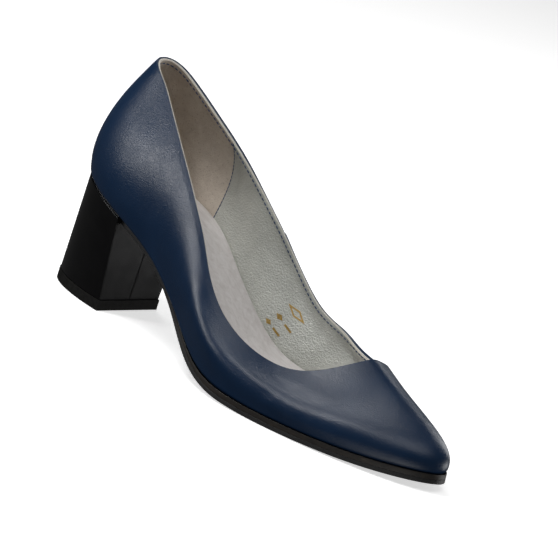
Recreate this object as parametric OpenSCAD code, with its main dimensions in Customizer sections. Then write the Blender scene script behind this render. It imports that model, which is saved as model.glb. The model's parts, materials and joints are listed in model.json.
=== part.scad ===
// High heel pump, right foot, cement-lasted, with a block heel.
// +X points to the toe, +Y to the inner side of the foot, +Z up.
// The origin lies on the ground at the centre of the heel's walking face.

/* [Last] */
// Length of the last's bottom, measured along the ground
last_len = 236; // [205:1:285]
// Width of the last's bottom across the ball
ball_w = 64; // [52:1:80]
// Width of the last's bottom across the seat
seat_w = 47; // [38:1:58]
// Rise of the seat above the ball
heel_rise = 56; // [35:1:75]
// Lift of the toe above the ball
toe_spring = 4; // [0:0.5:10]
// Height of the topline above the seat, at the back
back_h = 56; // [44:1:70]
// Height of the topline above the bottom, at the middle of the throat
throat_h = 30; // [22:1:40]
// Lift of the waist on its inner side
arch_lift = 6; // [0:0.5:10]

/* [Upper] */
// Thickness of the outer leather
upper_t = 1.2; // [0.8:0.1:2]
// Thickness of the lining leather
lining_t = 0.8; // [0.5:0.1:1.4]
// Thickness of the heel counter
counter_t = 1; // [0.5:0.1:1.8]
// Thickness of the toe puff
puff_t = 0.8; // [0.4:0.1:1.5]
// Thickness of the tape under the topline
tape_t = 0.3; // [0.2:0.1:0.6]
// Width of the tape
tape_w = 4; // [3:0.5:6]

/* [Insole] */
// Thickness of the insole board
insole_t = 2.2; // [1.6:0.1:3.5]
// Thickness of the shank board under it
shank_board_t = 1; // [0.6:0.1:1.4]
// Thickness of the foam on the insole
foam_t = 1.5; // [0.8:0.1:3]
// Thickness of the sock on the foam
sock_t = 0.8; // [0.5:0.1:1.2]
// Width of the steel shank
shank_w = 12; // [8:0.5:15]

/* [Sole] */
// Thickness of the upper layer of the sole
rand_t = 1; // [0.8:0.1:2]
// Height of the lip that its edge turns up against the upper
rand_lip = 1.6; // [0:0.1:2]
// Thickness of the tread
tread_t = 2.2; // [1.8:0.1:5]
// How far the sole stands out beyond the upper round the forepart
sole_proud = 0.3; // [0:0.1:2]

/* [Heel] */
// Width of the heel at the ground, across its breast
heel_w = 40; // [30:1:48]
// Depth of the heel at the ground, from the breast to the back
heel_d = 44.5; // [34:0.5:50]
// Distance that the heel's back stands behind the seat
heel_back = 8.5; // [0:0.5:11]
// Height of the top piece
top_piece_h = 5; // [3:0.2:8]
// How far the heel's upper end is set in under the upper
heel_in = 1.2; // [0:0.1:3]
// How far the top piece stands out beyond the heel
top_piece_proud = 0.4; // [0:0.1:1.5]
// Thickness of the covering on the heel
cover_t = 0.8; // [0.5:0.1:1.5]
// Radius of the shaft of the heel screw
screw_r = 2.2; // [1.6:0.1:3]
// Radius of the seat nails
nail_r = 0.9; // [0.6:0.1:1.4]
// Radius of the pins that hold the top piece
pin_r = 1.6; // [1:0.1:2.4]

/* [Hidden] */

// The stations below are drawn for this size, and the sizes above stretch them.
std_len = 236;
std_ball = 64;
std_seat = 47;
std_back = 56;
std_throat = 30;

// Outline of the last's bottom, as pairs of points on its outer and inner side:
// [distance from the back, outer half width], [distance from the back, inner half width].
outline = [
    [[0, 0], [0, 0]],
    [[1.2, 11], [1.2, 10.4]],
    [[8.6, 20.2], [8.6, 18.9]],
    [[22, 24.8], [22, 22.6]],
    [[37, 25.4], [37, 22.2]],
    [[58, 24.5], [58, 19.8]],
    [[78, 26.6], [78, 16.6]],
    [[98, 31.4], [98, 16]],
    [[118, 35.8], [118, 19]],
    [[138, 38], [138, 25]],
    [[158, 34.6], [158, 29.4]],
    [[177.5, 30.2], [178, 30]],
    [[196.5, 23.8], [197.5, 27]],
    [[213.5, 16.2], [214.5, 20.2]],
    [[226.5, 8.2], [227, 14]],
    [[233.9, 0.6], [234, 9.8]],
    [[236, -5.5], [236, 5.5]]
];
// Topline of the last, point for point with the outline:
// [distance from the back, half width, height above the bottom].
topline = [
    [[13, 0, 58.8], [13, 0, 58.8]],
    [[14, 4.6, 58.6], [14.4, 4.2, 58.4]],
    [[18.4, 8, 57.4], [19, 7.8, 57]],
    [[28, 10.2, 54.4], [28, 11.2, 53.8]],
    [[41, 14.2, 50], [41, 14.6, 49.8]],
    [[58, 19.4, 45], [58, 19, 45]],
    [[74.5, 23.6, 40.6], [74.5, 23, 40.6]],
    [[91, 27.4, 35.4], [90, 26.4, 36]],
    [[107, 31.6, 28.6], [105.5, 29.6, 31.2]],
    [[123, 32, 22.6], [121, 30.6, 27.8]],
    [[138, 29, 17.6], [136, 30.6, 26]],
    [[150, 23.6, 15.4], [150, 28.8, 23]],
    [[160, 17, 16.4], [162.5, 25.6, 22.4]],
    [[167.5, 10.4, 20], [173, 22.4, 24.2]],
    [[173, 4, 24.2], [177.6, 18, 26]],
    [[176.6, -1.8, 27.6], [178.8, 12.6, 27.9]],
    [[178.6, -7, 29.4], [178.6, 7, 29.4]]
];
// Height of the last's bottom at each eighth of its length, as shares of heel_rise and toe_spring.
rise = [1, 0.84, 0.64, 0.37, 0.08, 0.01, 0, 0, 0];
spring = [0, 0, 0, 0, 0, 0, 0.1, 0.35, 1];

// Widths and heights go over from the seat's to the ball's between these shares of the length.
blend_from = 0.2;
blend_to = 0.6;
// The raised waist: its middle, its half length and the edges it is tilted between, on the
// drawn size.
arch_mid = 60;
arch_reach = 30;
arch_from = -25;
arch_to = 16;

// Shape of the last's side, for the quarter, the ball and the toe: how far the wall rises
// and leans out from the feather edge, and how far its upper end is drawn out and down.
wall_rise = [17, 17, 8.5];
wall_lean = [5.2, 4, 1.6];
top_reach = [7.2, 13, 31];
top_drop = [12, 11, 16];
// Neither is more than this share of the topline's height, where that is low.
rise_most = 0.55;
drop_most = 0.5;
// Shares of the length where the quarter ends, and where the toe begins and is full.
quarter_end = [0.33, 0.63];
toe_start = [0.7, 0.95];

// Grid of the upper: spans between stations, points per span, and where the rows lie between
// the feather edge, 0, and the tape under the topline, 1.
spans = len(outline) - 1;
per_span = 3;
half = spans * per_span;
around = 2 * half;
wall_rows = [0, 0.13, 0.28, 0.43, 0.58, 0.73, 0.87, 1];
margin_rows = 4;
rows = margin_rows + len(wall_rows) + 1;
edge_row = margin_rows - 1;
// Width of the lasting margin, as a share of the way to the middle of the bottom.
margin_in = 0.35;
margin_mid = 0.14;
// The inner pieces lie clear of the margin.
inside_margin = 0.39;
// Distance of the row that rounds the edge, from the edge
edge_in = 1;
// The lead is how far the feather line lies outside the topline. Between the first two leads
// a rib turns from square to the edge to the topline's own side, and between the second two
// its upper end comes to lean out in full.
turn_lead = [4, 16];
reach_lead = [-8, 4];
// Shares of the full stiffener thickness on the outermost, the next and the third row or column
skive = [0.3, 0.65, 0.9];
// Columns of the grid where the leathers meet: inner-side seam of the upper, lining seams.
quarter_seam = around - 21;
grip_seam = 14;
counter_cols = 15;
puff_cols = 19;
puff_last_row = 9;
counter_last_row = rows - 3;
// Thickness left on the edges of the leathers that lap at the inner-side seam
under_edge = 0.35;
over_edge = 0.7;

// Station counts on the bottom: the breast of the heel, the shank board's front end.
breast = 4 * per_span;
board_end = 9 * per_span;
// The sole is narrower than the upper behind the first share of the length.
waist_in = 2.6;
sole_widens = [0.28, 0.58];
// The lip's foot is at most this share of the sole's width from the edge.
foot_most = 0.4;

// Fasteners: their places on the drawn size, and the shafts' lengths as shares of heel_rise
screw_x = 25;
screw_share = 0.52;
screw_head = 1.8; // times screw_r
screw_head_h = 1.8;
nails = [[11, 0], [18, 9], [18, -9], [31, 11], [31, -11]];
nail_share = 0.32;
nail_head = 2; // times nail_r
nail_head_h = 0.8;
rivets_x = [54, 108];
rivet_r = 1.5;
// The pins stand this share of heel_d before and behind the middle of the walking face.
pin_share = 0.2;
pin_rise = 0.2; // times heel_rise
pin_in = 0.6; // times top_piece_h
// Steel shank: ends on the drawn size, number of steps, width of its ends as a share of its own
shank_from = 14;
shank_to = 124;
shank_steps = 14;
shank_end = 0.6;
// Place of the walking face's middle, as a share of heel_d from the heel's back
tread_mid = 0.56;
// Gaps: at the covering's seam, round the sock, between the heel's breast and the sole,
// over and under the shank and the sole's upper layer, and over the sunk heads
seam_gap = 0.3;
sock_clear = 0.4;
sole_gap = 0.25;
cement = 0.1;
head_sunk = 0.3;
// Facets of the round pieces, distance that counts as touching, and steps for sampling curves
fine = 32;
same = 0.01;
near = 0.5;
sample = 2;

margin_t = lining_t + upper_t;
stack_t = insole_t + margin_t;

function mix(a, b, t) = a + (b - a) * t;
function ease(t) = let (u = min(max(t, 0), 1)) u * u * (3 - 2 * u);
function spline(a, b, c, d, t) =
    b + t / 2 * (c - a + t * (2 * a - 5 * b + 4 * c - d + t * (3 * b - a - 3 * c + d)));
function blend(x) = ease((x / last_len - blend_from) / (blend_to - blend_from));
// Distances along and across the foot, from the drawn size to this one
function along(x) = x * last_len / std_len;
function across(y, x) = y * width_at(x);

// Profile of the last's bottom
bottom_z = [for (i = [0 : len(rise) - 1]) heel_rise * rise[i] + toe_spring * spring[i]];
function pick(i) =
    let (n = len(bottom_z) - 1)
    i < 0 ? 2 * bottom_z[0] - bottom_z[1]
    : i > n ? 2 * bottom_z[n] - bottom_z[n - 1] : bottom_z[i];
function profile(x) =
    let (s = x / last_len * (len(rise) - 1), i = min(max(floor(s), 0), len(rise) - 2))
    spline(pick(i - 1), pick(i), pick(i + 1), pick(i + 2), s - i);
function slope(x) = (profile(x + near) - profile(x - near)) / (2 * near);
// The lowest point of the tread stands on the ground.
sole_t = rand_t + tread_t;
lift = -min([for (x = [last_len * blend_to : sample : last_len])
    profile(x) - (stack_t + sole_t) / sqrt(1 + slope(x) * slope(x))]);
function arch(x, y) =
    arch_lift * exp(-pow((x - along(arch_mid)) / along(arch_reach), 2))
    * (y / width_at(x) - arch_from) / (arch_to - arch_from);
// A point at a height d over the last's bottom, square to it
function bed(x, y, d) =
    let (g = slope(x), k = d / sqrt(1 + g * g))
    [x - g * k, y, lift + profile(x) + arch(x, y) + k];

// Closed loops of points: back, outer side, toe, inner side
function width_at(x) = mix(seat_w / std_seat, ball_w / std_ball, blend(x));
function height_at(x) = mix(back_h / std_back, throat_h / std_throat, blend(x));
function foot(p, side) =
    let (x = along(p[0])) [x, side * across(p[1], x)];
function rim(p, side) =
    let (q = foot(p, side)) [q[0], q[1], p[2] * height_at(q[0])];
feather_ctl = concat(
    [for (i = [0 : spans]) foot(outline[i][0], -1)],
    [for (i = [spans - 1 : -1 : 1]) foot(outline[i][1], 1)]);
topline_ctl = concat(
    [for (i = [0 : spans]) rim(topline[i][0], -1)],
    [for (i = [spans - 1 : -1 : 1]) rim(topline[i][1], 1)]);
function loop(c) =
    let (n = len(c))
    [for (i = [0 : n - 1], k = [0 : per_span - 1])
        spline(c[(i + n - 1) % n], c[i], c[(i + 1) % n], c[(i + 2) % n], k / per_span)];
feather = loop(feather_ctl);
rim_pts = [for (p = loop(topline_ctl)) [p[0], p[1], lift + profile(p[0]) + p[2]]];

// Outward direction of the feather line in plan
function out_dir(i) =
    let (d = feather[(i + 1) % around] - feather[(i + around - 1) % around])
    [d[1], -d[0]] / norm(d);
// The middle line of the bottom, that margins and inner pieces are measured to
mid_from = [22, 0];
mid_to = [212, 5.5];
function middle(p) =
    let (a = along(mid_from[0]), b = along(mid_to[0]), x = min(max(p[0], a), b))
    [x, across(mix(mid_from[1], mid_to[1], (x - a) / (b - a)), x)];
function inset(p, share) = p + (middle(p) - p) * share;
function inset_by(p, d) = p + (middle(p) - p) * d / norm(middle(p) - p);
function grown(i, e) = feather[i % around] + out_dir(i % around) * e;

// Ribs of the lasted form, from the margin under the insole over the edge to the topline
function three(v, x) =
    let (s = x / last_len,
        toe = ease((s - toe_start[0]) / (toe_start[1] - toe_start[0])),
        quarter = 1 - ease((s - quarter_end[0]) / (quarter_end[1] - quarter_end[0])))
    v[0] * quarter + v[2] * toe + v[1] * (1 - quarter - toe);
function rib(i) =
    let (f = feather[i], t = rim_pts[i], n = out_dir(i), x = f[0],
        e = bed(f[0], f[1], 0),
        g = [e[0] - t[0], e[1] - t[1]], lead = g * n, high = t[2] - e[2],
        turn = ease((lead - turn_lead[0]) / (turn_lead[1] - turn_lead[0])),
        side = mix(n, g / norm(g), turn), gd = side / norm(side),
        lean = three(wall_lean, x),
        reach = three(top_reach, x) * ease((lead - reach_lead[0]) / (reach_lead[1] - reach_lead[0])),
        b1 = e + [n[0] * lean, n[1] * lean, min(three(wall_rise, x), high * rise_most)],
        b2 = t + [gd[0] * reach, gd[1] * reach, -min(three(top_drop, x), high * drop_most)],
        taped = 1 - tape_w / norm(3 * (t - b2)),
        m0 = inset(f, margin_in), m1 = inset(f, margin_mid), m2 = inset_by(f, edge_in))
    concat(
        [bed(m0[0], m0[1], -insole_t), bed(m1[0], m1[1], -insole_t),
            bed(m2[0], m2[1], -insole_t), bed(f[0], f[1], -insole_t / 2)],
        [for (v = concat(wall_rows * taped, 1))
            let (w = 1 - v) w * w * w * e + 3 * w * w * v * b1 + 3 * w * v * v * b2 + v * v * v * t]);
form = [for (i = [0 : around - 1]) rib(i)];
function at(i, j) = form[(i + around) % around][min(max(j, 0), rows - 1)];
function unit(v) = v / norm(v);
normals = [for (i = [0 : around - 1]) [for (j = [0 : rows - 1])
    unit(cross(at(i + 1, j) - at(i - 1, j), at(i, j + 1) - at(i, j - 1)))]];

// Stiffeners between lining and upper thin out to their edges
function skived(k) = k < 0 ? 0 : k >= len(skive) ? 1 : skive[k];
function from_back(i) = min(i % around, around - i % around);
function counter_at(i, j) =
    counter_t * min(skived(counter_cols - from_back(i)),
        skived(j - edge_row), skived(counter_last_row - j));
function puff_at(i, j) =
    puff_t * min(skived(puff_cols - (half - from_back(i))),
        skived(j - edge_row), skived(puff_last_row - j));
function tape_at(i, j) = j >= rows - 2 ? tape_t : 0;
function under_upper(i, j) =
    lining_t + max(counter_at(i, j), puff_at(i, j), tape_at(i, j));

// A closed sheet on the grid, between two heights over the lasted form.
// Columns c0 to c1 (a full ring if ring is true), rows r0 to r1.
module sheet(c0, c1, r0, r1, low, high, ring = false) {
    nc = ring ? around : c1 - c0 + 1;
    nr = r1 - r0 + 1;
    cells = ring ? nc : nc - 1;
    function v(c, r, side) = (side * nc + (c % nc)) * nr + r;
    pts = [for (side = [0, 1], c = [0 : nc - 1], r = [0 : nr - 1])
        let (i = (c0 + c) % around, j = r0 + r)
        form[i][j] + normals[i][j] * (side == 0 ? low(i, j) : high(i, j))];
    outer = [for (c = [0 : cells - 1], r = [0 : nr - 2]) each [
        [v(c, r, 1), v(c, r + 1, 1), v(c + 1, r + 1, 1)],
        [v(c, r, 1), v(c + 1, r + 1, 1), v(c + 1, r, 1)]]];
    inner = [for (c = [0 : cells - 1], r = [0 : nr - 2]) each [
        [v(c, r, 0), v(c + 1, r + 1, 0), v(c, r + 1, 0)],
        [v(c, r, 0), v(c + 1, r, 0), v(c + 1, r + 1, 0)]]];
    rims = [for (c = [0 : cells - 1]) each [
        [v(c, 0, 0), v(c, 0, 1), v(c + 1, 0, 1)],
        [v(c, 0, 0), v(c + 1, 0, 1), v(c + 1, 0, 0)],
        [v(c, nr - 1, 0), v(c + 1, nr - 1, 1), v(c, nr - 1, 1)],
        [v(c, nr - 1, 0), v(c + 1, nr - 1, 0), v(c + 1, nr - 1, 1)]]];
    ends = ring ? [] : [for (r = [0 : nr - 2]) each [
        [v(0, r, 0), v(0, r + 1, 0), v(0, r + 1, 1)],
        [v(0, r, 0), v(0, r + 1, 1), v(0, r, 1)],
        [v(nc - 1, r, 0), v(nc - 1, r + 1, 1), v(nc - 1, r + 1, 0)],
        [v(nc - 1, r, 0), v(nc - 1, r, 1), v(nc - 1, r + 1, 1)]]];
    polyhedron(pts, concat(outer, inner, rims, ends), convexity = 10);
}

// A solid between two grids of points, of n rows and w columns each. The columns run
// to the left of the rows' way. A row whose points all meet closes in a tip. The two outer
// sides are cut from low to high between rows s and s + 1, or the other way if flip(s).
module between(low, high, flip = function(s) false) {
    n = len(low);
    w = len(low[0]);
    tips = [norm(low[0][0] - low[0][w - 1]) < same, norm(low[n - 1][0] - low[n - 1][w - 1]) < same];
    function v(s, q, side) =
        (side * n + s) * w + ((s == 0 && tips[0]) || (s == n - 1 && tips[1]) ? 0 : q);
    pts = [for (g = [low, high], row = g) each row];
    tops = [for (s = [0 : n - 2], q = [0 : w - 2]) each [
        [v(s, q, 1), v(s, q + 1, 1), v(s + 1, q + 1, 1)],
        [v(s, q, 1), v(s + 1, q + 1, 1), v(s + 1, q, 1)]]];
    bottoms = [for (s = [0 : n - 2], q = [0 : w - 2]) each [
        [v(s, q, 0), v(s + 1, q + 1, 0), v(s, q + 1, 0)],
        [v(s, q, 0), v(s + 1, q, 0), v(s + 1, q + 1, 0)]]];
    sides = [for (s = [0 : n - 2]) let (z = w - 1) each flip(s)
        ? [[v(s, 0, 0), v(s, 0, 1), v(s + 1, 0, 0)], [v(s, 0, 1), v(s + 1, 0, 1), v(s + 1, 0, 0)],
            [v(s, z, 0), v(s + 1, z, 0), v(s, z, 1)], [v(s, z, 1), v(s + 1, z, 0), v(s + 1, z, 1)]]
        : [[v(s, 0, 0), v(s, 0, 1), v(s + 1, 0, 1)], [v(s, 0, 0), v(s + 1, 0, 1), v(s + 1, 0, 0)],
            [v(s, z, 0), v(s + 1, z, 1), v(s, z, 1)], [v(s, z, 0), v(s + 1, z, 0), v(s + 1, z, 1)]]];
    ends = [for (q = [0 : w - 2]) each [
        [v(0, q, 0), v(0, q + 1, 0), v(0, q + 1, 1)], [v(0, q, 0), v(0, q + 1, 1), v(0, q, 1)],
        [v(n - 1, q, 0), v(n - 1, q + 1, 1), v(n - 1, q + 1, 0)],
        [v(n - 1, q, 0), v(n - 1, q, 1), v(n - 1, q + 1, 1)]]];
    faces = [for (f = concat(tops, bottoms, sides, ends))
        if (f[0] != f[1] && f[1] != f[2] && f[2] != f[0]) f];
    polyhedron(pts, faces, convexity = 10);
}
// A layer of the bottom between an outer row a and an inner row b of points, from depth
// low to depth high square to the last's bottom
function spread(a, b, depth) = [for (s = [0 : len(a) - 1]) [for (q = [0 : 2])
    let (p = mix(a[s], b[s], q / 2)) bed(p[0], p[1], depth)]];
module layer(a, b, low, high) between(spread(a, b, low), spread(a, b, high));
// Rows of points along the outer (side -1) and inner (side 1) edge of the bottom
function col(s, side) = side < 0 ? s : (around - s) % around;
function inset_row(s0, s1, side, share) =
    [for (s = [s0 : s1]) inset(feather[col(s, side)], share)];
function clear_row(side, d) =
    [for (s = [0 : half]) inset_by(feather[col(s, side)], d)];
function sole_edge(s) =
    mix(-waist_in, margin_t + sole_proud,
        ease((feather[s][0] / last_len - sole_widens[0]) / (sole_widens[1] - sole_widens[0])));
// The sole's rear end follows the heel's breast down, a gap clear of it.
function sole_row(side, depth) =
    let (start = -(slope(breast_x) + breast_lean) * (-stack_t - depth) + sole_gap)
    [for (s = [breast : half])
        grown(col(s, side), sole_edge(s)) + (s == breast ? [start, 0] : [0, 0])];

// Heel outlines, set in by e: on the ground, and under the seat
breast_x = feather[breast][0];
heel_x0 = -margin_t - heel_back;
heel_x1 = heel_x0 + heel_d;
tread_x = heel_x0 + heel_d * tread_mid;
// How far the breast comes forward per unit of its height
breast_top = bed(breast_x, 0, -stack_t);
breast_lean = (breast_top[0] - heel_x1) / (breast_top[2] - top_piece_h);
screw_len = heel_rise * screw_share;
nail_len = heel_rise * nail_share;
pin_len = heel_rise * pin_rise + top_piece_h * pin_in;
function heel_low(s, side, e) =
    let (a = 90 * s / breast)
    [heel_x1 - e - (heel_d - 2 * e) * cos(a), side * (heel_w / 2 - e) * sin(a), top_piece_h];
function heel_high(s, side, e) =
    grown(col(s, side), margin_t - heel_in - e) - (s == breast ? [e, 0] : [0, 0]);
function low_grid(e) = [for (s = [0 : breast]) [for (q = [0 : 2])
    mix(heel_low(s, -1, e), heel_low(s, 1, e), q / 2)]];
function high_grid(e) = [for (s = [0 : breast]) [for (q = [0 : 2])
    let (p = mix(heel_high(s, -1, e), heel_high(s, 1, e), q / 2)) bed(p[0], p[1], -stack_t)]];
// The covering runs from the seam in the breast round the back to the seam.
function round_low(e) = concat(
    [[heel_x1 - e, -seam_gap / 2, top_piece_h]],
    [for (s = [breast : -1 : 0]) heel_low(s, -1, e)], [for (s = [1 : breast]) heel_low(s, 1, e)],
    [[heel_x1 - e, seam_gap / 2, top_piece_h]]);
function round_high(e) =
    let (x = heel_high(breast, 1, e)[0])
    [for (p = concat([[x, -seam_gap / 2]],
        [for (s = [breast : -1 : 0]) heel_high(s, -1, e)],
        [for (s = [1 : breast]) heel_high(s, 1, e)], [[x, seam_gap / 2]]))
        bed(p[0], p[1], -stack_t)];

module place() translate([-tread_x, 0, 0]) children();
// Stands its children square to the last's bottom, at a depth d
module on_bed(x, y, d) translate(bed(x, y, d)) rotate([0, atan(-slope(x)), 0]) children();
// A round rod from down below its children's level to up above it
module rod(r, down, up) translate([0, 0, -down]) cylinder(r = r, h = down + up, $fn = fine);
module at_screw() on_bed(along(screw_x), 0, head_sunk - insole_t) children();
module at_nails() for (p = nails)
    let (x = along(p[0])) on_bed(x, across(p[1], x), -nail_head_h - head_sunk) children();
module at_pins() for (side = [-1, 1])
    translate([tread_x + side * heel_d * pin_share, 0, top_piece_h * (1 - pin_in)]) children();
module at_rivets() for (p = rivets_x)
    let (x = along(p)) on_bed(x, middle([x, 0])[1], -stack_t) children();

module vamp() {
    color("midnightblue") place() sheet(0, quarter_seam, 0, rows - 1,
        function(i, j) under_upper(i, j) + upper_t
            * (i == quarter_seam ? 1 : i == quarter_seam - 1 ? under_edge : 0),
        function(i, j) under_upper(i, j) + upper_t
            * (i == quarter_seam ? 1 + over_edge : i == quarter_seam - 1 ? 1 + under_edge : 1));
}
module medial_quarter() {
    color("navy") place() sheet(quarter_seam - 1, around, 0, rows - 1,
        function(i, j) under_upper(i, j),
        function(i, j) under_upper(i, j) + upper_t * (i == quarter_seam - 1 ? under_edge : 1));
}
module vamp_lining() {
    color("silver") place() sheet(grip_seam, around - grip_seam, 0, rows - 1,
        function(i, j) 0, function(i, j) lining_t);
}
module heel_grip() {
    color("tan") place() sheet(around - grip_seam, around + grip_seam, 0, rows - 1,
        function(i, j) 0, function(i, j) lining_t);
}
module heel_counter() {
    color("peru") place() sheet(around - counter_cols, around + counter_cols, edge_row,
        counter_last_row, function(i, j) lining_t, function(i, j) lining_t + counter_at(i, j));
}
module toe_puff() {
    color("wheat") place() sheet(half - puff_cols, half + puff_cols, edge_row, puff_last_row,
        function(i, j) lining_t, function(i, j) lining_t + puff_at(i, j));
}
module topline_tape() {
    color("white") place() sheet(0, around, rows - 2, rows - 1,
        function(i, j) lining_t, function(i, j) lining_t + tape_t, ring = true);
}
module sock_lining() {
    color("mistyrose") place() layer(clear_row(-1, sock_clear), clear_row(1, sock_clear),
        foam_t, foam_t + sock_t);
}
module sock_foam() {
    color("khaki") place() layer(clear_row(-1, sock_clear), clear_row(1, sock_clear), 0, foam_t);
}
module insole_board() {
    color("burlywood") place() difference() {
        between(spread(clear_row(-1, edge_in), clear_row(1, edge_in), -insole_t),
            spread(inset_row(0, half, -1, 0), inset_row(0, half, 1, 0), 0));
        at_screw() rod(screw_r * screw_head, stack_t, stack_t);
        at_nails() {
            rod(nail_r, stack_t, stack_t);
            rod(nail_r * nail_head, 0, stack_t);
        }
    }
}
module shank_board() {
    color("sienna") place() difference() {
        layer(inset_row(0, board_end, -1, inside_margin), inset_row(0, board_end, 1, inside_margin),
            -insole_t - shank_board_t, -insole_t);
        at_screw() rod(screw_r, stack_t, 0);
        at_nails() rod(nail_r, nail_len, 0);
        at_rivets() rod(rivet_r, 0, stack_t);
    }
}
module steel_shank() {
    ends = [for (k = [0 : shank_steps])
        let (x = along(mix(shank_from, shank_to, k / shank_steps)), m = middle([x, 0]),
            w = shank_w / 2 * (k == 0 || k == shank_steps ? shank_end : 1))
        [[x, m[1] - w], [x, m[1] + w]]];
    color("lightsteelblue") place() difference() {
        layer([for (e = ends) e[0]], [for (e = ends) e[1]],
            cement - stack_t, -insole_t - shank_board_t - cement);
        at_screw() rod(screw_r, 2 * stack_t, 0);
        at_rivets() rod(rivet_r, stack_t, stack_t);
    }
}
module shank_rivets() {
    color("silver") place() at_rivets() rod(rivet_r, 0, margin_t);
}
module bottom_filler() {
    color("darkkhaki") place() layer(inset_row(board_end, half, -1, inside_margin),
        inset_row(board_end, half, 1, inside_margin), -stack_t, -insole_t - cement);
}
// The lip is full where the sole reaches furthest out, and its foot lies edge_in inside the edge.
function lip_grid(depth, lip) = [for (s = [breast : half])
    let (a = sole_row(-1, depth)[s - breast], b = sole_row(1, depth)[s - breast],
        out = max(sole_edge(s) + edge_in, 0), full = margin_t + sole_proud + edge_in,
        up = lip * out / full,
        f = min(max(out, edge_in) / max(norm(b - a), same), foot_most))
    [for (q = [[0, up], [f, 0], [0.5, 0], [1 - f, 0], [1, up]])
        let (p = mix(a, b, q[0])) bed(p[0], p[1], depth + q[1])]];
module sole_rand() {
    color("dimgray") place()
        between(lip_grid(-stack_t - rand_t, 0), lip_grid(-stack_t - cement, rand_lip));
}
module tread_sole() {
    color("black") place()
        let (low = -stack_t - sole_t, high = -stack_t - rand_t)
        between(spread(sole_row(-1, low), sole_row(1, low), low),
            spread(sole_row(-1, high), sole_row(1, high), high));
}
module heel_block() {
    color("gray") place() difference() {
        between(low_grid(cover_t), high_grid(cover_t));
        at_screw() rod(screw_r, screw_len, screw_len);
        at_nails() rod(nail_r, nail_len, nail_len);
        at_pins() rod(pin_r, 0, pin_len);
    }
}
module heel_cover() {
    inner = [round_low(cover_t), round_high(cover_t)];
    outer = [round_low(0), round_high(0)];
    n = len(inner[0]);
    color("black") place() between(
        [for (k = [0 : n - 1]) [inner[0][k], outer[0][k]]],
        [for (k = [0 : n - 1]) [inner[1][k], outer[1][k]]],
        function(k) k <= breast || k == n - 2);
}
module heel_screw() {
    color("lightgray") place() at_screw() {
        rod(screw_r, screw_len, 0);
        rod(screw_r * screw_head, 0, screw_head_h);
    }
}
module seat_nails() {
    color("lightgray") place() at_nails() {
        rod(nail_r, nail_len, 0);
        rod(nail_r * nail_head, 0, nail_head_h);
    }
}
module top_piece() {
    p = top_piece_proud;
    color("dimgray") place() difference() {
        linear_extrude(top_piece_h) polygon(concat(
            [for (s = [breast : -1 : 0]) let (q = heel_low(s, -1, -p)) [q[0], q[1]]],
            [for (s = [1 : breast]) let (q = heel_low(s, 1, -p)) [q[0], q[1]]]));
        at_pins() rod(pin_r, 0, pin_len);
    }
}
module top_piece_pins() {
    color("silver") place() at_pins() rod(pin_r, 0, pin_len);
}

vamp();
medial_quarter();
vamp_lining();
heel_grip();
heel_counter();
toe_puff();
topline_tape();
sock_lining();
sock_foam();
insole_board();
shank_board();
steel_shank();
shank_rivets();
bottom_filler();
sole_rand();
tread_sole();
heel_block();
heel_cover();
heel_screw();
seat_nails();
top_piece();
top_piece_pins();
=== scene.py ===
import json
import math

import bmesh
import bpy
from mathutils import Matrix, Vector, kdtree

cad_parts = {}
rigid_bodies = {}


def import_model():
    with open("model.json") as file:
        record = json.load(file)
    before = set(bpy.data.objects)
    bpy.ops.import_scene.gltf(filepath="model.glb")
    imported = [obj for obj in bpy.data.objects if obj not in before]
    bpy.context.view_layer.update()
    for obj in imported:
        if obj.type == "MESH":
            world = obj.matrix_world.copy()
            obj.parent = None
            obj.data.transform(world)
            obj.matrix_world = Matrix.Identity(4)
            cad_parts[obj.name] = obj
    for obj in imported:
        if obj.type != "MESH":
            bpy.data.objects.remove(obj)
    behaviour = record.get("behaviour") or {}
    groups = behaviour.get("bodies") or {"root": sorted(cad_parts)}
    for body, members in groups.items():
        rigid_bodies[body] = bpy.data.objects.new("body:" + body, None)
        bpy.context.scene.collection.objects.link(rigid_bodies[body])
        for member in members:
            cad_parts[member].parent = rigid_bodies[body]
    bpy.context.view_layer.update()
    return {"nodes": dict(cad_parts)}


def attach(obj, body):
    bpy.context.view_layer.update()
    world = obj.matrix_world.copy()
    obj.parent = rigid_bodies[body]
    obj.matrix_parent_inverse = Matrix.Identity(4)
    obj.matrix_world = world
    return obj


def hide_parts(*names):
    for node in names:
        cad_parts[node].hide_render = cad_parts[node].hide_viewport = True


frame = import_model()
bpy.ops.object.select_all(action="DESELECT")
MM = 0.001

# ---------------------------------------------------------------- camera
# A long lens looks down on the outer side of the shoe from ahead of it, tipped over so that
# the toe points down and to the right.
azimuth, elevation, roll = math.radians(39.87), math.radians(15.75), math.radians(17.4)
back = Vector((math.sin(azimuth) * math.cos(elevation),
               -math.cos(azimuth) * math.cos(elevation), math.sin(elevation)))
level = Vector((math.cos(azimuth), math.sin(azimuth), 0))
upright = back.cross(level)
cam_x = level * math.cos(roll) + upright * math.sin(roll)
cam_y = upright * math.cos(roll) - level * math.sin(roll)
aim = Vector((0.09855, 0, 0.045)) + cam_x * 0.0055 + cam_y * 0.0045
camera_distance = 2.254
bpy.ops.object.camera_add()
camera = bpy.context.object
camera.matrix_world = (Matrix.Translation(aim + back * camera_distance)
                       @ Matrix((cam_x, cam_y, back)).transposed().to_4x4())
camera.data.lens = 316.7
camera.data.sensor_width = 36
bpy.context.scene.camera = camera
bpy.context.scene.view_settings.view_transform = "Standard"


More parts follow.
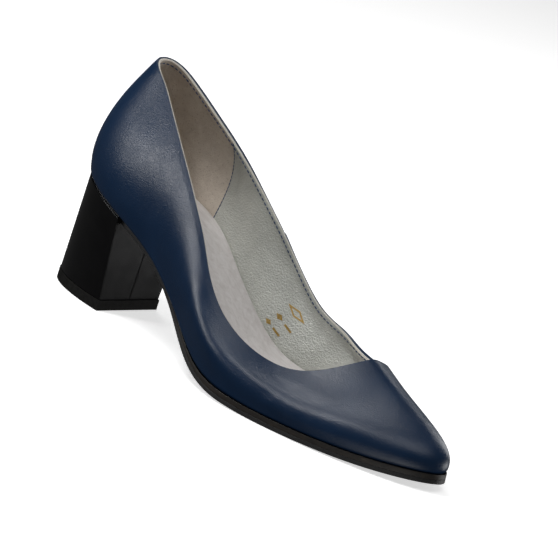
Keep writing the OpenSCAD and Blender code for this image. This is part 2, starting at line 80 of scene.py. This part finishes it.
# ---------------------------------------------------------------- light
# Soft boxes overhead, in front and high on the left, a wide fill from the opening's side, a
# low card at the heel's breast and one in front, and a strip behind that edges the toe.
def soft_box(name, way, distance, wide, high, power):
    way = way.normalized()
    bpy.ops.object.light_add(type="AREA", location=aim + way * distance)
    lamp = bpy.context.object
    lamp.name = name
    lamp.rotation_euler = way.to_track_quat("Z", "Y").to_euler()
    lamp.data.shape = "RECTANGLE"
    lamp.data.size, lamp.data.size_y = wide, high
    lamp.data.energy = power


soft_box("overhead_box", cam_x * 0.12 + cam_y * 0.97 - back * 0.2, 0.9, 0.16, 0.2, 1.3)
soft_box("front_box", cam_x * -0.22 + cam_y * 0.93 + back * 0.3, 0.9, 0.26, 0.26, 3)
soft_box("inside_fill", cam_x * 0.3 + cam_y * 0.75 + back * 0.6, 1.1, 0.7, 0.7, 3)
soft_box("left_box", cam_x * -0.8 + cam_y * 0.5 + back * 0.3, 0.9, 0.2, 0.28, 2.8)
soft_box("breast_card", Vector((0.64, 0.76, -0.1)), 0.8, 0.5, 0.3, 1.9)
soft_box("edge_strip", cam_x * 0.75 + cam_y * 0.35 - back * 0.7, 0.9, 0.3, 0.6, 1.8)
soft_box("floor_card", cam_x * -0.2 - cam_y * 0.7 + back * 0.6, 0.8, 0.5, 0.5, 1.2)

# The camera sees a white studio, which lights the shoe only dimly.
studio = bpy.data.worlds.new("dim_studio")
bpy.context.scene.world = studio
studio.use_nodes = True
tree = studio.node_tree
seen = tree.nodes.new("ShaderNodeLightPath")
strength = tree.nodes.new("ShaderNodeMix")
strength.inputs["A"].default_value = 0.06
strength.inputs["B"].default_value = 1.0
tree.links.new(seen.outputs["Is Camera Ray"], strength.inputs["Factor"])
tree.links.new(strength.outputs["Result"], tree.nodes["Background"].inputs["Strength"])
tree.nodes["Background"].inputs["Color"].default_value = (1, 1, 1, 1)

# ---------------------------------------------------------------- floor
# A plain white floor that the heel and the ball stand on. It is lit from within, so that it
# stays white where the lamps don't reach, and the shoe doesn't mirror it.
floor_radius = 6
bpy.ops.mesh.primitive_circle_add(vertices=96, radius=floor_radius, fill_type="NGON", location=(0, 0, 0))
floor = bpy.context.object
floor.name = "floor"
paint = bpy.data.materials.new("floor_white")
paint.use_nodes = True
shader = paint.node_tree.nodes["Principled BSDF"]
shader.inputs["Base Color"].default_value = (0.9, 0.9, 0.9, 1)
shader.inputs["Roughness"].default_value = 0.8
shader.inputs["Specular IOR Level"].default_value = 0.1
shader.inputs["Emission Color"].default_value = (1, 1, 1, 1)
shader.inputs["Emission Strength"].default_value = 0.62
floor.data.materials.append(paint)
floor.visible_glossy = False
floor.visible_diffuse = False
floor.visible_shadow = False


# ---------------------------------------------------------------- outer leather
# The outer side with the whole forepart is cut in one piece of smooth calf leather, folded
# over the tape at the opening, lasted over the form and cemented underneath.
def only(piece):
    bpy.ops.object.select_all(action="DESELECT")
    piece.select_set(True)
    bpy.context.view_layer.objects.active = piece


def copied(node, name):
    """A copy of a node's solid, its triangles merged and paired into four-sided faces."""
    only(frame["nodes"][node])
    bpy.ops.object.duplicate()
    piece = bpy.context.object
    piece.name = name
    piece.data.name = name
    for key in list(piece.keys()):
        del piece[key]
    bpy.ops.object.parent_clear(type="CLEAR_KEEP_TRANSFORM")
    piece.data.materials.clear()
    bpy.ops.object.mode_set(mode="EDIT")
    bpy.ops.mesh.select_all(action="SELECT")
    bpy.ops.mesh.remove_doubles(threshold=0.002 * MM)
    bpy.ops.mesh.customdata_custom_splitnormals_clear()
    bpy.ops.mesh.tris_convert_to_quads(face_threshold=math.pi, shape_threshold=math.pi)
    bpy.ops.object.mode_set(mode="OBJECT")
    return piece


def pick(piece, kind, test):
    """Leaves the piece in edit mode with the parts selected that the test accepts."""
    only(piece)
    bpy.ops.object.mode_set(mode="EDIT")
    bpy.ops.mesh.select_mode(type=kind)
    bpy.ops.mesh.select_all(action="DESELECT")
    edit = bmesh.from_edit_mesh(piece.data)
    edit.normal_update()
    for part in {"VERT": edit.verts, "EDGE": edit.edges, "FACE": edit.faces}[kind]:
        if test(part):
            part.select_set(True)
    edit.select_flush_mode()
    bmesh.update_edit_mesh(piece.data)


def sharp(edge):
    return len(edge.link_faces) == 2 and edge.calc_face_angle(0) > math.radians(50)


def eased(piece, width):
    pick(piece, "EDGE", sharp)
    bpy.ops.mesh.bevel(offset=width * MM, segments=2, affect="EDGES", clamp_overlap=True)
    bpy.ops.object.mode_set(mode="OBJECT")


def smoothed(piece, levels):
    only(piece)
    mod = piece.modifiers.new("smooth", "SUBSURF")
    mod.levels = mod.render_levels = levels
    bpy.ops.object.modifier_apply(modifier=mod.name)
    bpy.ops.object.shade_smooth()


def fitted(piece, finish, *nodes):
    piece.data.materials.append(finish)
    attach(piece, "root")
    if nodes:
        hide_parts(*nodes)


def finish(name, colour, roughness, metallic=0.0, **more):
    """A material with its shader, and the place that its patterns are laid out in."""
    made = bpy.data.materials.new(name)
    made.use_nodes = True
    shader = made.node_tree.nodes["Principled BSDF"]
    shader.inputs["Base Color"].default_value = (*colour, 1)
    shader.inputs["Roughness"].default_value = roughness
    shader.inputs["Metallic"].default_value = metallic
    for key, value in more.items():
        shader.inputs[key.replace("_", " ")].default_value = value
    place = made.node_tree.nodes.new("ShaderNodeTexCoord")
    return made, made.node_tree, shader, place.outputs["Object"]


def stretched(tree, where, scale):
    node = tree.nodes.new("ShaderNodeMapping")
    node.inputs["Scale"].default_value = scale
    tree.links.new(where, node.inputs["Vector"])
    return node.outputs["Vector"]


def clouds(tree, where, scale, detail=3.0, rough=0.5, twist=0.0):
    node = tree.nodes.new("ShaderNodeTexNoise")
    node.inputs["Scale"].default_value = scale
    node.inputs["Detail"].default_value = detail
    node.inputs["Roughness"].default_value = rough
    node.inputs["Distortion"].default_value = twist
    tree.links.new(where, node.inputs["Vector"])
    return node.outputs["Fac"]


def cells(tree, where, scale, kind="F1"):
    node = tree.nodes.new("ShaderNodeTexVoronoi")
    node.feature = kind
    node.inputs["Scale"].default_value = scale
    tree.links.new(where, node.inputs["Vector"])
    return node.outputs["Distance"]


def ramp(tree, source, *stops):
    """Carries a pattern over into colours, or greys where a stop is one number."""
    node = tree.nodes.new("ShaderNodeValToRGB")
    node.color_ramp.elements[0].position = stops[0][0]
    node.color_ramp.elements[1].position = stops[-1][0]
    for stop in stops[1:-1]:
        node.color_ramp.elements.new(stop[0])
    for element, stop in zip(node.color_ramp.elements, stops):
        c = stop[1] if isinstance(stop[1], tuple) else (stop[1],) * 3
        element.color = (*c, 1)
    tree.links.new(source, node.inputs["Fac"])
    return node.outputs["Color"]


def raised(tree, shader, *layers):
    """Bumps one over another: (height, strength, depth in mm)."""
    below = None
    for height, strength, depth in layers:
        node = tree.nodes.new("ShaderNodeBump")
        node.inputs["Strength"].default_value = strength
        node.inputs["Distance"].default_value = depth * MM
        tree.links.new(height, node.inputs["Height"])
        if below:
            tree.links.new(below, node.inputs["Normal"])
        below = node.outputs["Normal"]
    tree.links.new(below, shader.inputs["Normal"])


navy, tree, shader, where = finish("navy_leather", (0.0035, 0.018, 0.052), 0.33, Specular_IOR_Level=0.42)
patches = clouds(tree, where, 38, 4, 0.6, 0.4)
tree.links.new(ramp(tree, patches, (0.3, (0.003, 0.0165, 0.048)), (0.7, (0.0046, 0.0215, 0.06))),
               shader.inputs["Base Color"])
tree.links.new(ramp(tree, clouds(tree, where, 120, 3), (0.3, 0.3), (0.7, 0.37)),
               shader.inputs["Roughness"])
pores = cells(tree, where, 2100)
creases = clouds(tree, stretched(tree, where, (1, 1, 1.8)), 560, 4, 0.6, 1.2)
swells = clouds(tree, where, 75, 2, 0.5, 0.5)
raised(tree, shader, (swells, 0.2, 0.6), (creases, 0.4, 0.2), (pores, 0.45, 0.09))


# Where the opening's edge lies: one face of the tape gives, column by column round the
# opening, the top edge, the tape's lower edge and the way across the tape to that face.
tape_thickness_most = 0.45 * MM
tape_width = 4 * MM
opening_middle = 0.08


def opening_columns():
    tape = copied("topline_tape", "tape_measure")
    edit = bmesh.new()
    edit.from_mesh(tape.data)
    edit.normal_update()
    columns = []
    for across in [e for e in edit.edges if e.calc_length() < tape_thickness_most]:
        rim = [f for f in across.link_faces
               if sum(e.calc_length() < tape_thickness_most for e in f.edges) == 2]
        if sum(f.normal.z for f in rim) <= 0:
            continue
        a, b = across.verts
        face = next(f for f in a.link_faces if f not in across.link_faces)
        if face.normal.dot(a.co - b.co) < 0:
            a, b = b, a
        low = min((e.other_vert(a) for e in a.link_edges),
                  key=lambda v: abs((v.co - a.co).length - tape_width)
                  + (10 if any(v in f.verts for f in rim) else 0))
        columns.append((a.co.copy(), low.co.copy(), (a.co - b.co).normalized()))
    edit.free()
    bpy.data.objects.remove(tape)
    columns.sort(key=lambda c: math.atan2(c[0].y, c[0].x - opening_middle))
    return columns


columns = opening_columns()
finder = kdtree.KDTree(len(columns) * 3)
for k, (top, low, out) in enumerate(columns):
    for m, share in enumerate((0, 0.5, 1)):
        finder.insert(top.lerp(low, share), 3 * k + m)
finder.balance()


def by_edge(place):
    """How far a point lies below the opening's edge, as a share of the tape, and how far
    off the tape's measured face, in mm; None for a point away from the columns."""
    top, low, out = columns[finder.find(place)[1] // 3]
    down, off = low - top, place - top
    share, rise = off.dot(down) / down.length_squared, off.dot(out)
    if (off - down * share - out * rise).length > 0.5 * MM or not -0.1 < share < 1.1:
        return None
    return share, rise / MM


def spans_tape(edge):
    ends = [by_edge(v.co) for v in edge.verts]
    return None not in ends and abs(ends[0][0] - ends[1][0]) > 0.85 and abs(ends[0][1] - ends[1][1]) < 0.4


def at_share(share, least, most):
    def test(vert):
        place = by_edge(vert.co)
        return place is not None and abs(place[0] - share) < 0.06 and least < place[1] < most
    return test


def folded(piece):
    """Rounds the leather over at the opening, with the stitch line drawn in below the fold."""
    pick(piece, "EDGE", spans_tape)
    bpy.ops.mesh.subdivide(number_cuts=3)
    bpy.ops.object.mode_set(mode="OBJECT")
    for share, push in ((0.25, 0.2), (0.5, -0.42)):
        pick(piece, "VERT", at_share(share, 0.6, 2.4))
        bpy.ops.transform.shrink_fatten(value=push * MM)
        bpy.ops.object.mode_set(mode="OBJECT")


vamp = copied("vamp", "vamp_leather")
folded(vamp)


# The end of the vamp that laps over the inner quarter, as pairs of neighbouring points
def lap_line():
    edit = bmesh.new()
    edit.from_mesh(vamp.data)
    edit.normal_update()
    ends = [f for f in edit.faces if f.normal.x < -0.75 and f.calc_center_median().y > 10 * MM
            and 0.08 < f.calc_center_median().x < 0.105 and min(e.calc_length() for e in f.edges) < 1.1 * MM]
    pairs = []
    for v in {v for f in ends for v in f.verts}:
        mate = min((e.other_vert(v) for e in v.link_edges), key=lambda w: (w.co - v.co).length)
        far = lambda w: Vector((0, w.co.y, w.co.z - 0.045)).length
        if far(v) < far(mate):
            continue
        ahead = [e.other_vert(v) for e in v.link_edges if e.other_vert(v).co.x > v.co.x + 3 * MM]
        if ahead:
            pairs.append((v.co.copy(), ahead[0].co.copy(), v.normal.copy()))
    edit.free()
    return sorted(pairs, key=lambda p: -p[0].z)


lap = lap_line()
eased(vamp, 0.38)
smoothed(vamp, 2)
fitted(vamp, navy, "vamp")

# ---------------------------------------------------------------- inner quarter
# The inner side of the heel is a second piece of the same calf. It meets the vamp's other end
# in the back seam, and the vamp laps over its front edge.
quarter = copied("medial_quarter", "quarter_leather")
folded(quarter)
eased(quarter, 0.3)
smoothed(quarter, 2)
fitted(quarter, navy, "medial_quarter")

# ---------------------------------------------------------------- stitching
# Bonded navy thread, one row round the opening and two rows along the lap: every stitch
# dips into its needle holes. One stitch is shaped, and copied along the rows.
thread, tree, shader, where = finish("navy_thread", (0.012, 0.03, 0.085), 0.55)
fibres = clouds(tree, stretched(tree, where, (3, 3, 1)), 2600, 2, 0.6)
tree.links.new(ramp(tree, fibres, (0.3, (0.012, 0.034, 0.1)), (0.7, (0.034, 0.08, 0.19))),
               shader.inputs["Base Color"])
raised(tree, shader, (fibres, 0.6, 0.05))

stitch_half = (1.0 * MM, 0.3 * MM, 0.26 * MM)
opening_pitch = 2.5 * MM
lap_pitch = 2.2 * MM
bpy.ops.mesh.primitive_uv_sphere_add(segments=8, ring_count=6, radius=1, location=(0, 0, 0))
stitch = bpy.context.object
bpy.ops.object.mode_set(mode="EDIT")
bpy.ops.mesh.select_all(action="SELECT")
bpy.ops.transform.rotate(value=math.pi / 2, orient_axis="Y", center_override=(0, 0, 0))
bpy.ops.transform.resize(value=stitch_half, center_override=(0, 0, 0))
bpy.ops.object.mode_set(mode="OBJECT")


def evenly(points, pitch):
    """Points at an even pitch along a smooth line through (place, way out) pairs."""
    fine = []
    for a, b in zip(points, points[1:]):
        fine += [(a[0].lerp(b[0], t / 12), a[1].lerp(b[1], t / 12)) for t in range(12)]
    fine.append(points[-1])
    gone, due, found = 0.0, pitch / 2, []
    for a, b in zip(fine, fine[1:]):
        step = (b[0] - a[0]).length
        while step > 0 and gone + step >= due:
            found.append((a[0].lerp(b[0], (due - gone) / step), a[1], (b[0] - a[0]).normalized()))
            due += pitch
        gone += step
    return found


def rounded(points, closed):
    """Catmull-Rom points between the given ones, so that a row bends smoothly."""
    n, made = len(points), []
    for i in range(n if closed else n - 1):
        p = [points[(i + d) % n] if closed else points[min(max(i + d, 0), n - 1)] for d in (-1, 0, 1, 2)]
        for t in (0, 0.25, 0.5, 0.75):
            made.append(tuple(
                0.5 * (2 * b + (c - a) * t + (2 * a - 5 * b + 4 * c - d) * t * t
                       + (3 * b - a - 3 * c + d) * t ** 3)
                for a, b, c, d in zip(*p)))
    made.append(made[0] if closed else points[-1])
    return made


def sewn(name, points, pitch, closed=False):
    made = []
    for place, out, way in evenly(rounded(points, closed), pitch):
        side = out.cross(way).normalized()
        up = way.cross(side).normalized()
        one = stitch.copy()
        one.data = stitch.data.copy()
        bpy.context.collection.objects.link(one)
        one.matrix_world = Matrix.Translation(place) @ Matrix((way, side, up)).transposed().to_4x4()
        made.append(one)
    bpy.ops.object.select_all(action="DESELECT")
    for one in made:
        one.select_set(True)
    bpy.context.view_layer.objects.active = made[0]
    bpy.ops.object.join()
    row = bpy.context.object
    row.name = row.data.name = name
    bpy.ops.object.transform_apply(location=True, rotation=True, scale=True)
    bpy.ops.object.shade_smooth()
    fitted(row, thread)


lap_x = lap[0][0].x
edge_row = []
for top, low, out in columns:
    over = 1.0 + (0.0 if abs(top.x - lap_x) > 4 * MM or top.y < 0 else 0.3)
    edge_row.append((top.lerp(low, 0.5) + out * over * MM, out))
sewn("opening_stitches", edge_row, opening_pitch, closed=True)
for k, inward in enumerate((1.4, 3.2)):
    sewn(f"lap_stitches_{k + 1}",
         [(a + (b - a).normalized() * inward * MM - n * 0.02 * MM, n) for a, b, n in lap
          if a.z > lap[-1][0].z + 4 * MM][1:], lap_pitch)

# ---------------------------------------------------------------- linings
# The forepart and the sides are lined with foiled silver leather, crinkled all over, and the
# heel with a sueded grip that meets it in a seam. Both are cut raw at the opening, where the
# pale middle of the hide shows.
silver, tree, shader, where = finish("silver_lining", (0.74, 0.75, 0.7), 0.48, 0.3)
crinkle = cells(tree, where, 620, "DISTANCE_TO_EDGE")
grains = cells(tree, where, 1500)
worn = clouds(tree, where, 60, 4, 0.6, 0.8)
tree.links.new(ramp(tree, worn, (0.25, (0.54, 0.55, 0.51)), (0.75, (0.72, 0.73, 0.68))),
               shader.inputs["Base Color"])
tree.links.new(ramp(tree, grains, (0.0, 0.38), (0.7, 0.62)), shader.inputs["Roughness"])
raised(tree, shader, (worn, 0.3, 0.8), (crinkle, 0.9, 0.3), (grains, 0.8, 0.2))

suede, tree, shader, where = finish("beige_suede", (0.36, 0.3, 0.25), 0.95, Specular_IOR_Level=0.15,
                                    Sheen_Weight=0.25, Sheen_Roughness=0.5)
nap = clouds(tree, where, 1700, 3, 0.7)
brushed = clouds(tree, where, 130, 4, 0.65, 1.0)
tinted = tree.nodes.new("ShaderNodeMix")
tinted.data_type = "RGBA"
tinted.blend_type = "MULTIPLY"
tinted.inputs["Factor"].default_value = 1.0
tree.links.new(ramp(tree, brushed, (0.3, (0.6, 0.52, 0.44)), (0.7, (0.72, 0.64, 0.55))), tinted.inputs["A"])
tree.links.new(ramp(tree, cells(tree, where, 620), (0.1, (0.78, 0.76, 0.74)), (0.28, (1, 1, 1))),
               tinted.inputs["B"])
tree.links.new(tinted.outputs["Result"], shader.inputs["Base Color"])
raised(tree, shader, (brushed, 0.4, 0.4), (nap, 0.8, 0.2))

raw_edge, tree, shader, where = finish("raw_edge", (0.6, 0.56, 0.49), 0.85, Specular_IOR_Level=0.2)
fray = clouds(tree, where, 1500, 3, 0.7)
tree.links.new(ramp(tree, fray, (0.3, (0.5, 0.46, 0.4)), (0.7, (0.68, 0.64, 0.57))),
               shader.inputs["Base Color"])
raised(tree, shader, (fray, 0.6, 0.12))


seam_pitch = 1.9 * MM


def seam_lines(piece):
    """The inner edges of a lining's two rear ends, from the top down, one for each side."""
    edit = bmesh.new()
    edit.from_mesh(piece.data)
    edit.normal_update()
    ends = [f for f in edit.faces if f.normal.x < -0.5 and f.calc_center_median().z > 0.05
            and min(e.calc_length() for e in f.edges) < 0.95 * MM]
    lines = {-1: [], 1: []}
    for v in {v for f in ends for v in f.verts}:
        near = [e.other_vert(v) for e in v.link_edges if e.calc_length() < 0.95 * MM]
        if near and abs(v.co.y) < abs(near[0].co.y):
            lines[1 if v.co.y > 0 else -1].append((v.co.copy(), (v.co - near[0].co).normalized()))
    edit.free()
    return [sorted(line, key=lambda p: -p[0].z) for line in lines.values()]


def lined(node, name, leather):
    piece = copied(node, name)
    if node == "vamp_lining":
        for k, line in enumerate(seam_lines(piece)):
            sewn(f"lining_seam_{k + 1}", line, seam_pitch)
    fitted(piece, leather, node)
    piece.data.materials.append(raw_edge)
    pick(piece, "FACE", lambda f: all((by_edge(v.co) or (1, 0))[0] < 0.1 for v in f.verts))
    piece.active_material_index = 1
    bpy.ops.object.material_slot_assign()
    bpy.ops.object.mode_set(mode="OBJECT")
    eased(piece, 0.22)
    smoothed(piece, 2)
    return piece


lining = lined("vamp_lining", "silver_lining_leather", silver)
lined("heel_grip", "suede_grip", suede)
bpy.data.objects.remove(stitch)

# ---------------------------------------------------------------- foil marks
# Small stamps of gold foil on the inner side of the lining, plain lozenges and bars.
# Each is cut flat and pressed onto the lining.
gold, tree, shader, where = finish("gold_foil", (0.62, 0.4, 0.12), 0.42, 0.7)
rubbed = clouds(tree, where, 900, 3, 0.7)
tree.links.new(ramp(tree, rubbed, (0.3, (0.5, 0.31, 0.09)), (0.7, (0.72, 0.5, 0.18))),
               shader.inputs["Base Color"])
raised(tree, shader, (rubbed, 0.4, 0.05))
fore = Vector((0.83, 0.24, -0.5)).normalized()
rise = Vector((0.42, 0.18, 0.89))
rise = (rise - fore * rise.dot(fore)).normalized()
inward = fore.cross(rise).normalized()
if inward.y > 0:
    inward = -inward
marks = []
for name, place, long, high, ring in (
        ("lozenge", (98.5, 26.5, 32.8), 6.4, 2.3, 0.38), ("pip_a", (93.1, 21.8, 28.8), 2.4, 1.5, 0),
        ("pip_b", (89.8, 18.8, 25.0), 2.1, 1.3, 0), ("bar_a", (99.0, 22.9, 25.4), 3.6, 0.8, 0),
        ("bar_b", (95.2, 19.9, 22.0), 3.6, 0.8, 0)):
    bpy.ops.mesh.primitive_circle_add(vertices=4, radius=1, fill_type="NGON", location=(0, 0, 0))
    mark = bpy.context.object
    bpy.ops.object.mode_set(mode="EDIT")
    bpy.ops.mesh.select_all(action="SELECT")
    if name.startswith("bar"):
        bpy.ops.transform.rotate(value=math.pi / 4, orient_axis="Z", center_override=(0, 0, 0))
    bpy.ops.transform.resize(value=(long * MM, high * MM, 1), center_override=(0, 0, 0))
    if ring:
        bpy.ops.mesh.inset(thickness=ring * high * MM, depth=0)
        bpy.ops.mesh.delete(type="FACE")
    bpy.ops.mesh.select_all(action="SELECT")
    bpy.ops.mesh.subdivide(number_cuts=3)
    bpy.ops.object.mode_set(mode="OBJECT")
    mark.matrix_world = (Matrix.Translation(Vector(place) * MM + inward * 2 * MM)
                         @ Matrix((fore, inward.cross(fore), inward)).transposed().to_4x4())
    bpy.ops.object.transform_apply(location=True, rotation=True, scale=True)
    marks.append(mark)
bpy.ops.object.select_all(action="DESELECT")
for mark in marks:
    mark.select_set(True)
bpy.context.view_layer.objects.active = marks[0]
bpy.ops.object.join()
stamps = bpy.context.object
stamps.name = stamps.data.name = "foil_marks"
press = stamps.modifiers.new("press", "SHRINKWRAP")
press.target = lining
press.wrap_method = "NEAREST_SURFACEPOINT"
press.wrap_mode = "ABOVE_SURFACE"
press.offset = 0.03 * MM
foil = stamps.modifiers.new("foil", "SOLIDIFY")
foil.thickness = 0.05 * MM
foil.offset = 1
for name in ("press", "foil"):
    bpy.ops.object.modifier_apply(modifier=name)
fitted(stamps, gold)

# ---------------------------------------------------------------- sock
# A full-length sock of soft pale leather, brushed along its length, on a thin sheet of foam.
sock_skin, tree, shader, where = finish("sock_leather", (0.66, 0.62, 0.6), 0.62)
streaks = clouds(tree, stretched(tree, where, (0.09, 1, 1)), 420, 4, 0.65, 0.6)
wrinkles = clouds(tree, stretched(tree, where, (0.5, 1, 1)), 900, 3, 0.6)
tree.links.new(ramp(tree, streaks, (0.25, (0.52, 0.485, 0.47)), (0.5, (0.62, 0.59, 0.575)),
                    (0.75, (0.7, 0.675, 0.665))),
               shader.inputs["Base Color"])
raised(tree, shader, (streaks, 0.3, 0.25), (wrinkles, 0.35, 0.1))
sock = copied("sock_lining", "sock")
eased(sock, 0.3)
smoothed(sock, 2)
fitted(sock, sock_skin, "sock_lining")

latex, tree, shader, where = finish("sock_foam", (0.72, 0.66, 0.45), 0.95, Specular_IOR_Level=0.1)
bubbles = cells(tree, where, 1300)
tree.links.new(ramp(tree, bubbles, (0.1, (0.55, 0.49, 0.31)), (0.6, (0.78, 0.72, 0.52))),
               shader.inputs["Base Color"])
raised(tree, shader, (bubbles, 0.7, 0.3))
pad = copied("sock_foam", "sock_pad")
eased(pad, 0.2)
smoothed(pad, 1)
fitted(pad, latex, "sock_foam")


# ---------------------------------------------------------------- stiffeners and tape
# A moulded counter of leather board round the heel and a fused puff over the toes keep the
# upper's shape, and a cotton tape under the fold keeps the opening from stretching.
def dressed(node, made):
    slots = frame["nodes"][node].data.materials
    if len(slots):
        for k in range(len(slots)):
            slots[k] = made
    else:
        slots.append(made)


stiff, tree, shader, where = finish("stiffener", (0.42, 0.28, 0.16), 0.9, Specular_IOR_Level=0.2)
pulp = clouds(tree, where, 700, 5, 0.7, 0.8)
tree.links.new(ramp(tree, pulp, (0.3, (0.3, 0.19, 0.1)), (0.7, (0.52, 0.37, 0.23))),
               shader.inputs["Base Color"])
raised(tree, shader, (pulp, 0.5, 0.15))
dressed("heel_counter", stiff)
dressed("toe_puff", stiff)

cotton, tree, shader, where = finish("cotton_tape", (0.78, 0.76, 0.7), 0.95, Specular_IOR_Level=0.1)
warp = tree.nodes.new("ShaderNodeTexWave")
warp.inputs["Scale"].default_value = 900
warp.inputs["Distortion"].default_value = 1.5
tree.links.new(where, warp.inputs["Vector"])
tree.links.new(ramp(tree, warp.outputs["Fac"], (0.1, (0.6, 0.58, 0.52)), (0.8, (0.84, 0.82, 0.77))),
               shader.inputs["Base Color"])
raised(tree, shader, (warp.outputs["Fac"], 0.6, 0.1))
dressed("topline_tape", cotton)

# ---------------------------------------------------------------- insole and shank
# The insole is pressed fibre board. Under its waist a stiffer board carries a sprung steel
# shank, held by two rivets, and a cork sheet fills the forepart inside the lasting margin.
board, tree, shader, where = finish("fibre_board", (0.4, 0.29, 0.18), 0.9, Specular_IOR_Level=0.2)
fleck = clouds(tree, stretched(tree, where, (0.3, 1, 1)), 1100, 4, 0.7)
tree.links.new(ramp(tree, fleck, (0.35, (0.3, 0.2, 0.12)), (0.65, (0.48, 0.37, 0.25))),
               shader.inputs["Base Color"])
raised(tree, shader, (fleck, 0.4, 0.1))
dressed("insole_board", board)
dressed("shank_board", board)

steel, tree, shader, where = finish("steel", (0.55, 0.56, 0.58), 0.32, 1.0)
rolled = clouds(tree, stretched(tree, where, (0.06, 1, 1)), 1500, 3, 0.6)
tree.links.new(ramp(tree, rolled, (0.3, 0.24), (0.7, 0.42)), shader.inputs["Roughness"])
tree.links.new(ramp(tree, rolled, (0.3, (0.46, 0.47, 0.49)), (0.7, (0.62, 0.63, 0.65))),
               shader.inputs["Base Color"])
raised(tree, shader, (rolled, 0.3, 0.03))
for node in ("steel_shank", "shank_rivets", "heel_screw", "seat_nails", "top_piece_pins"):
    dressed(node, steel)

cork, tree, shader, where = finish("cork_filler", (0.5, 0.33, 0.18), 0.9, Specular_IOR_Level=0.15)
crumbs = cells(tree, where, 650)
tree.links.new(ramp(tree, crumbs, (0.1, (0.58, 0.4, 0.23)), (0.45, (0.44, 0.28, 0.15)),
                    (0.8, (0.22, 0.12, 0.06))),
               shader.inputs["Base Color"])
raised(tree, shader, (crumbs, 0.6, 0.25))
dressed("bottom_filler", cork)

# ---------------------------------------------------------------- sole
# Two layers are cemented under the upper: a thin rand that turns up against the leather and
# shows as a brown line, and a moulded black rubber tread with a fine pebbled face.
brown, tree, shader, where = finish("rand_brown", (0.03, 0.022, 0.016), 0.5)
scuff = clouds(tree, stretched(tree, where, (0.3, 1, 1)), 500, 4, 0.6)
tree.links.new(ramp(tree, scuff, (0.35, (0.01, 0.008, 0.007)), (0.65, (0.022, 0.017, 0.012)),
                    (0.85, (0.09, 0.065, 0.04))),
               shader.inputs["Base Color"])
raised(tree, shader, (scuff, 0.4, 0.12))
rand = copied("sole_rand", "rand")
eased(rand, 0.2)
smoothed(rand, 2)
fitted(rand, brown, "sole_rand")

black, tree, shader, where = finish("sole_black", (0.011, 0.011, 0.012), 0.6)
pebbles = cells(tree, where, 850)
tree.links.new(ramp(tree, clouds(tree, where, 220, 4, 0.6), (0.3, (0.008, 0.008, 0.009)),
                    (0.75, (0.02, 0.019, 0.018))),
               shader.inputs["Base Color"])
tree.links.new(ramp(tree, clouds(tree, where, 90, 3), (0.3, 0.5), (0.7, 0.72)), shader.inputs["Roughness"])
raised(tree, shader, (pebbles, 0.5, 0.15))
tread = copied("tread_sole", "tread")
eased(tread, 0.3)
smoothed(tread, 2)
fitted(tread, black, "tread_sole")

# ---------------------------------------------------------------- heel
# A moulded plastic block, wrapped in black finished leather whose two ends meet in a seam
# down the middle of the breast, and shod with a hard rubber top piece on two pins.
heel_skin, tree, shader, where = finish("heel_black", (0.0025, 0.0025, 0.0027), 0.24, Specular_IOR_Level=0.35)
bloom = clouds(tree, where, 110, 3, 0.6, 0.6)
tree.links.new(ramp(tree, bloom, (0.3, 0.22), (0.7, 0.27)), shader.inputs["Roughness"])
tree.links.new(ramp(tree, bloom, (0.3, (0.002, 0.002, 0.0022)), (0.7, (0.0032, 0.0031, 0.0034))),
               shader.inputs["Base Color"])
raised(tree, shader, (cells(tree, where, 1900), 0.1, 0.03))
cover = copied("heel_cover", "heel_wrap")
eased(cover, 0.25)
smoothed(cover, 2)
fitted(cover, heel_skin, "heel_cover")

plastic, tree, shader, where = finish("block_plastic", (0.16, 0.16, 0.165), 0.5)
flow = clouds(tree, stretched(tree, where, (1, 1, 0.2)), 260, 3, 0.6)
tree.links.new(ramp(tree, flow, (0.3, (0.12, 0.12, 0.125)), (0.7, (0.2, 0.2, 0.205))),
               shader.inputs["Base Color"])
raised(tree, shader, (flow, 0.25, 0.1))
dressed("heel_block", plastic)

grey, tree, shader, where = finish("top_piece_grey", (0.013, 0.0125, 0.012), 0.8, Specular_IOR_Level=0.15)
chalk = clouds(tree, where, 500, 4, 0.65)
tree.links.new(ramp(tree, chalk, (0.35, (0.006, 0.0058, 0.0055)), (0.8, (0.016, 0.0155, 0.0145))),
               shader.inputs["Base Color"])
raised(tree, shader, (chalk, 0.4, 0.12))
lift = copied("top_piece", "heel_lift")
eased(lift, 0.35)
smoothed(lift, 2)
fitted(lift, grey, "top_piece")
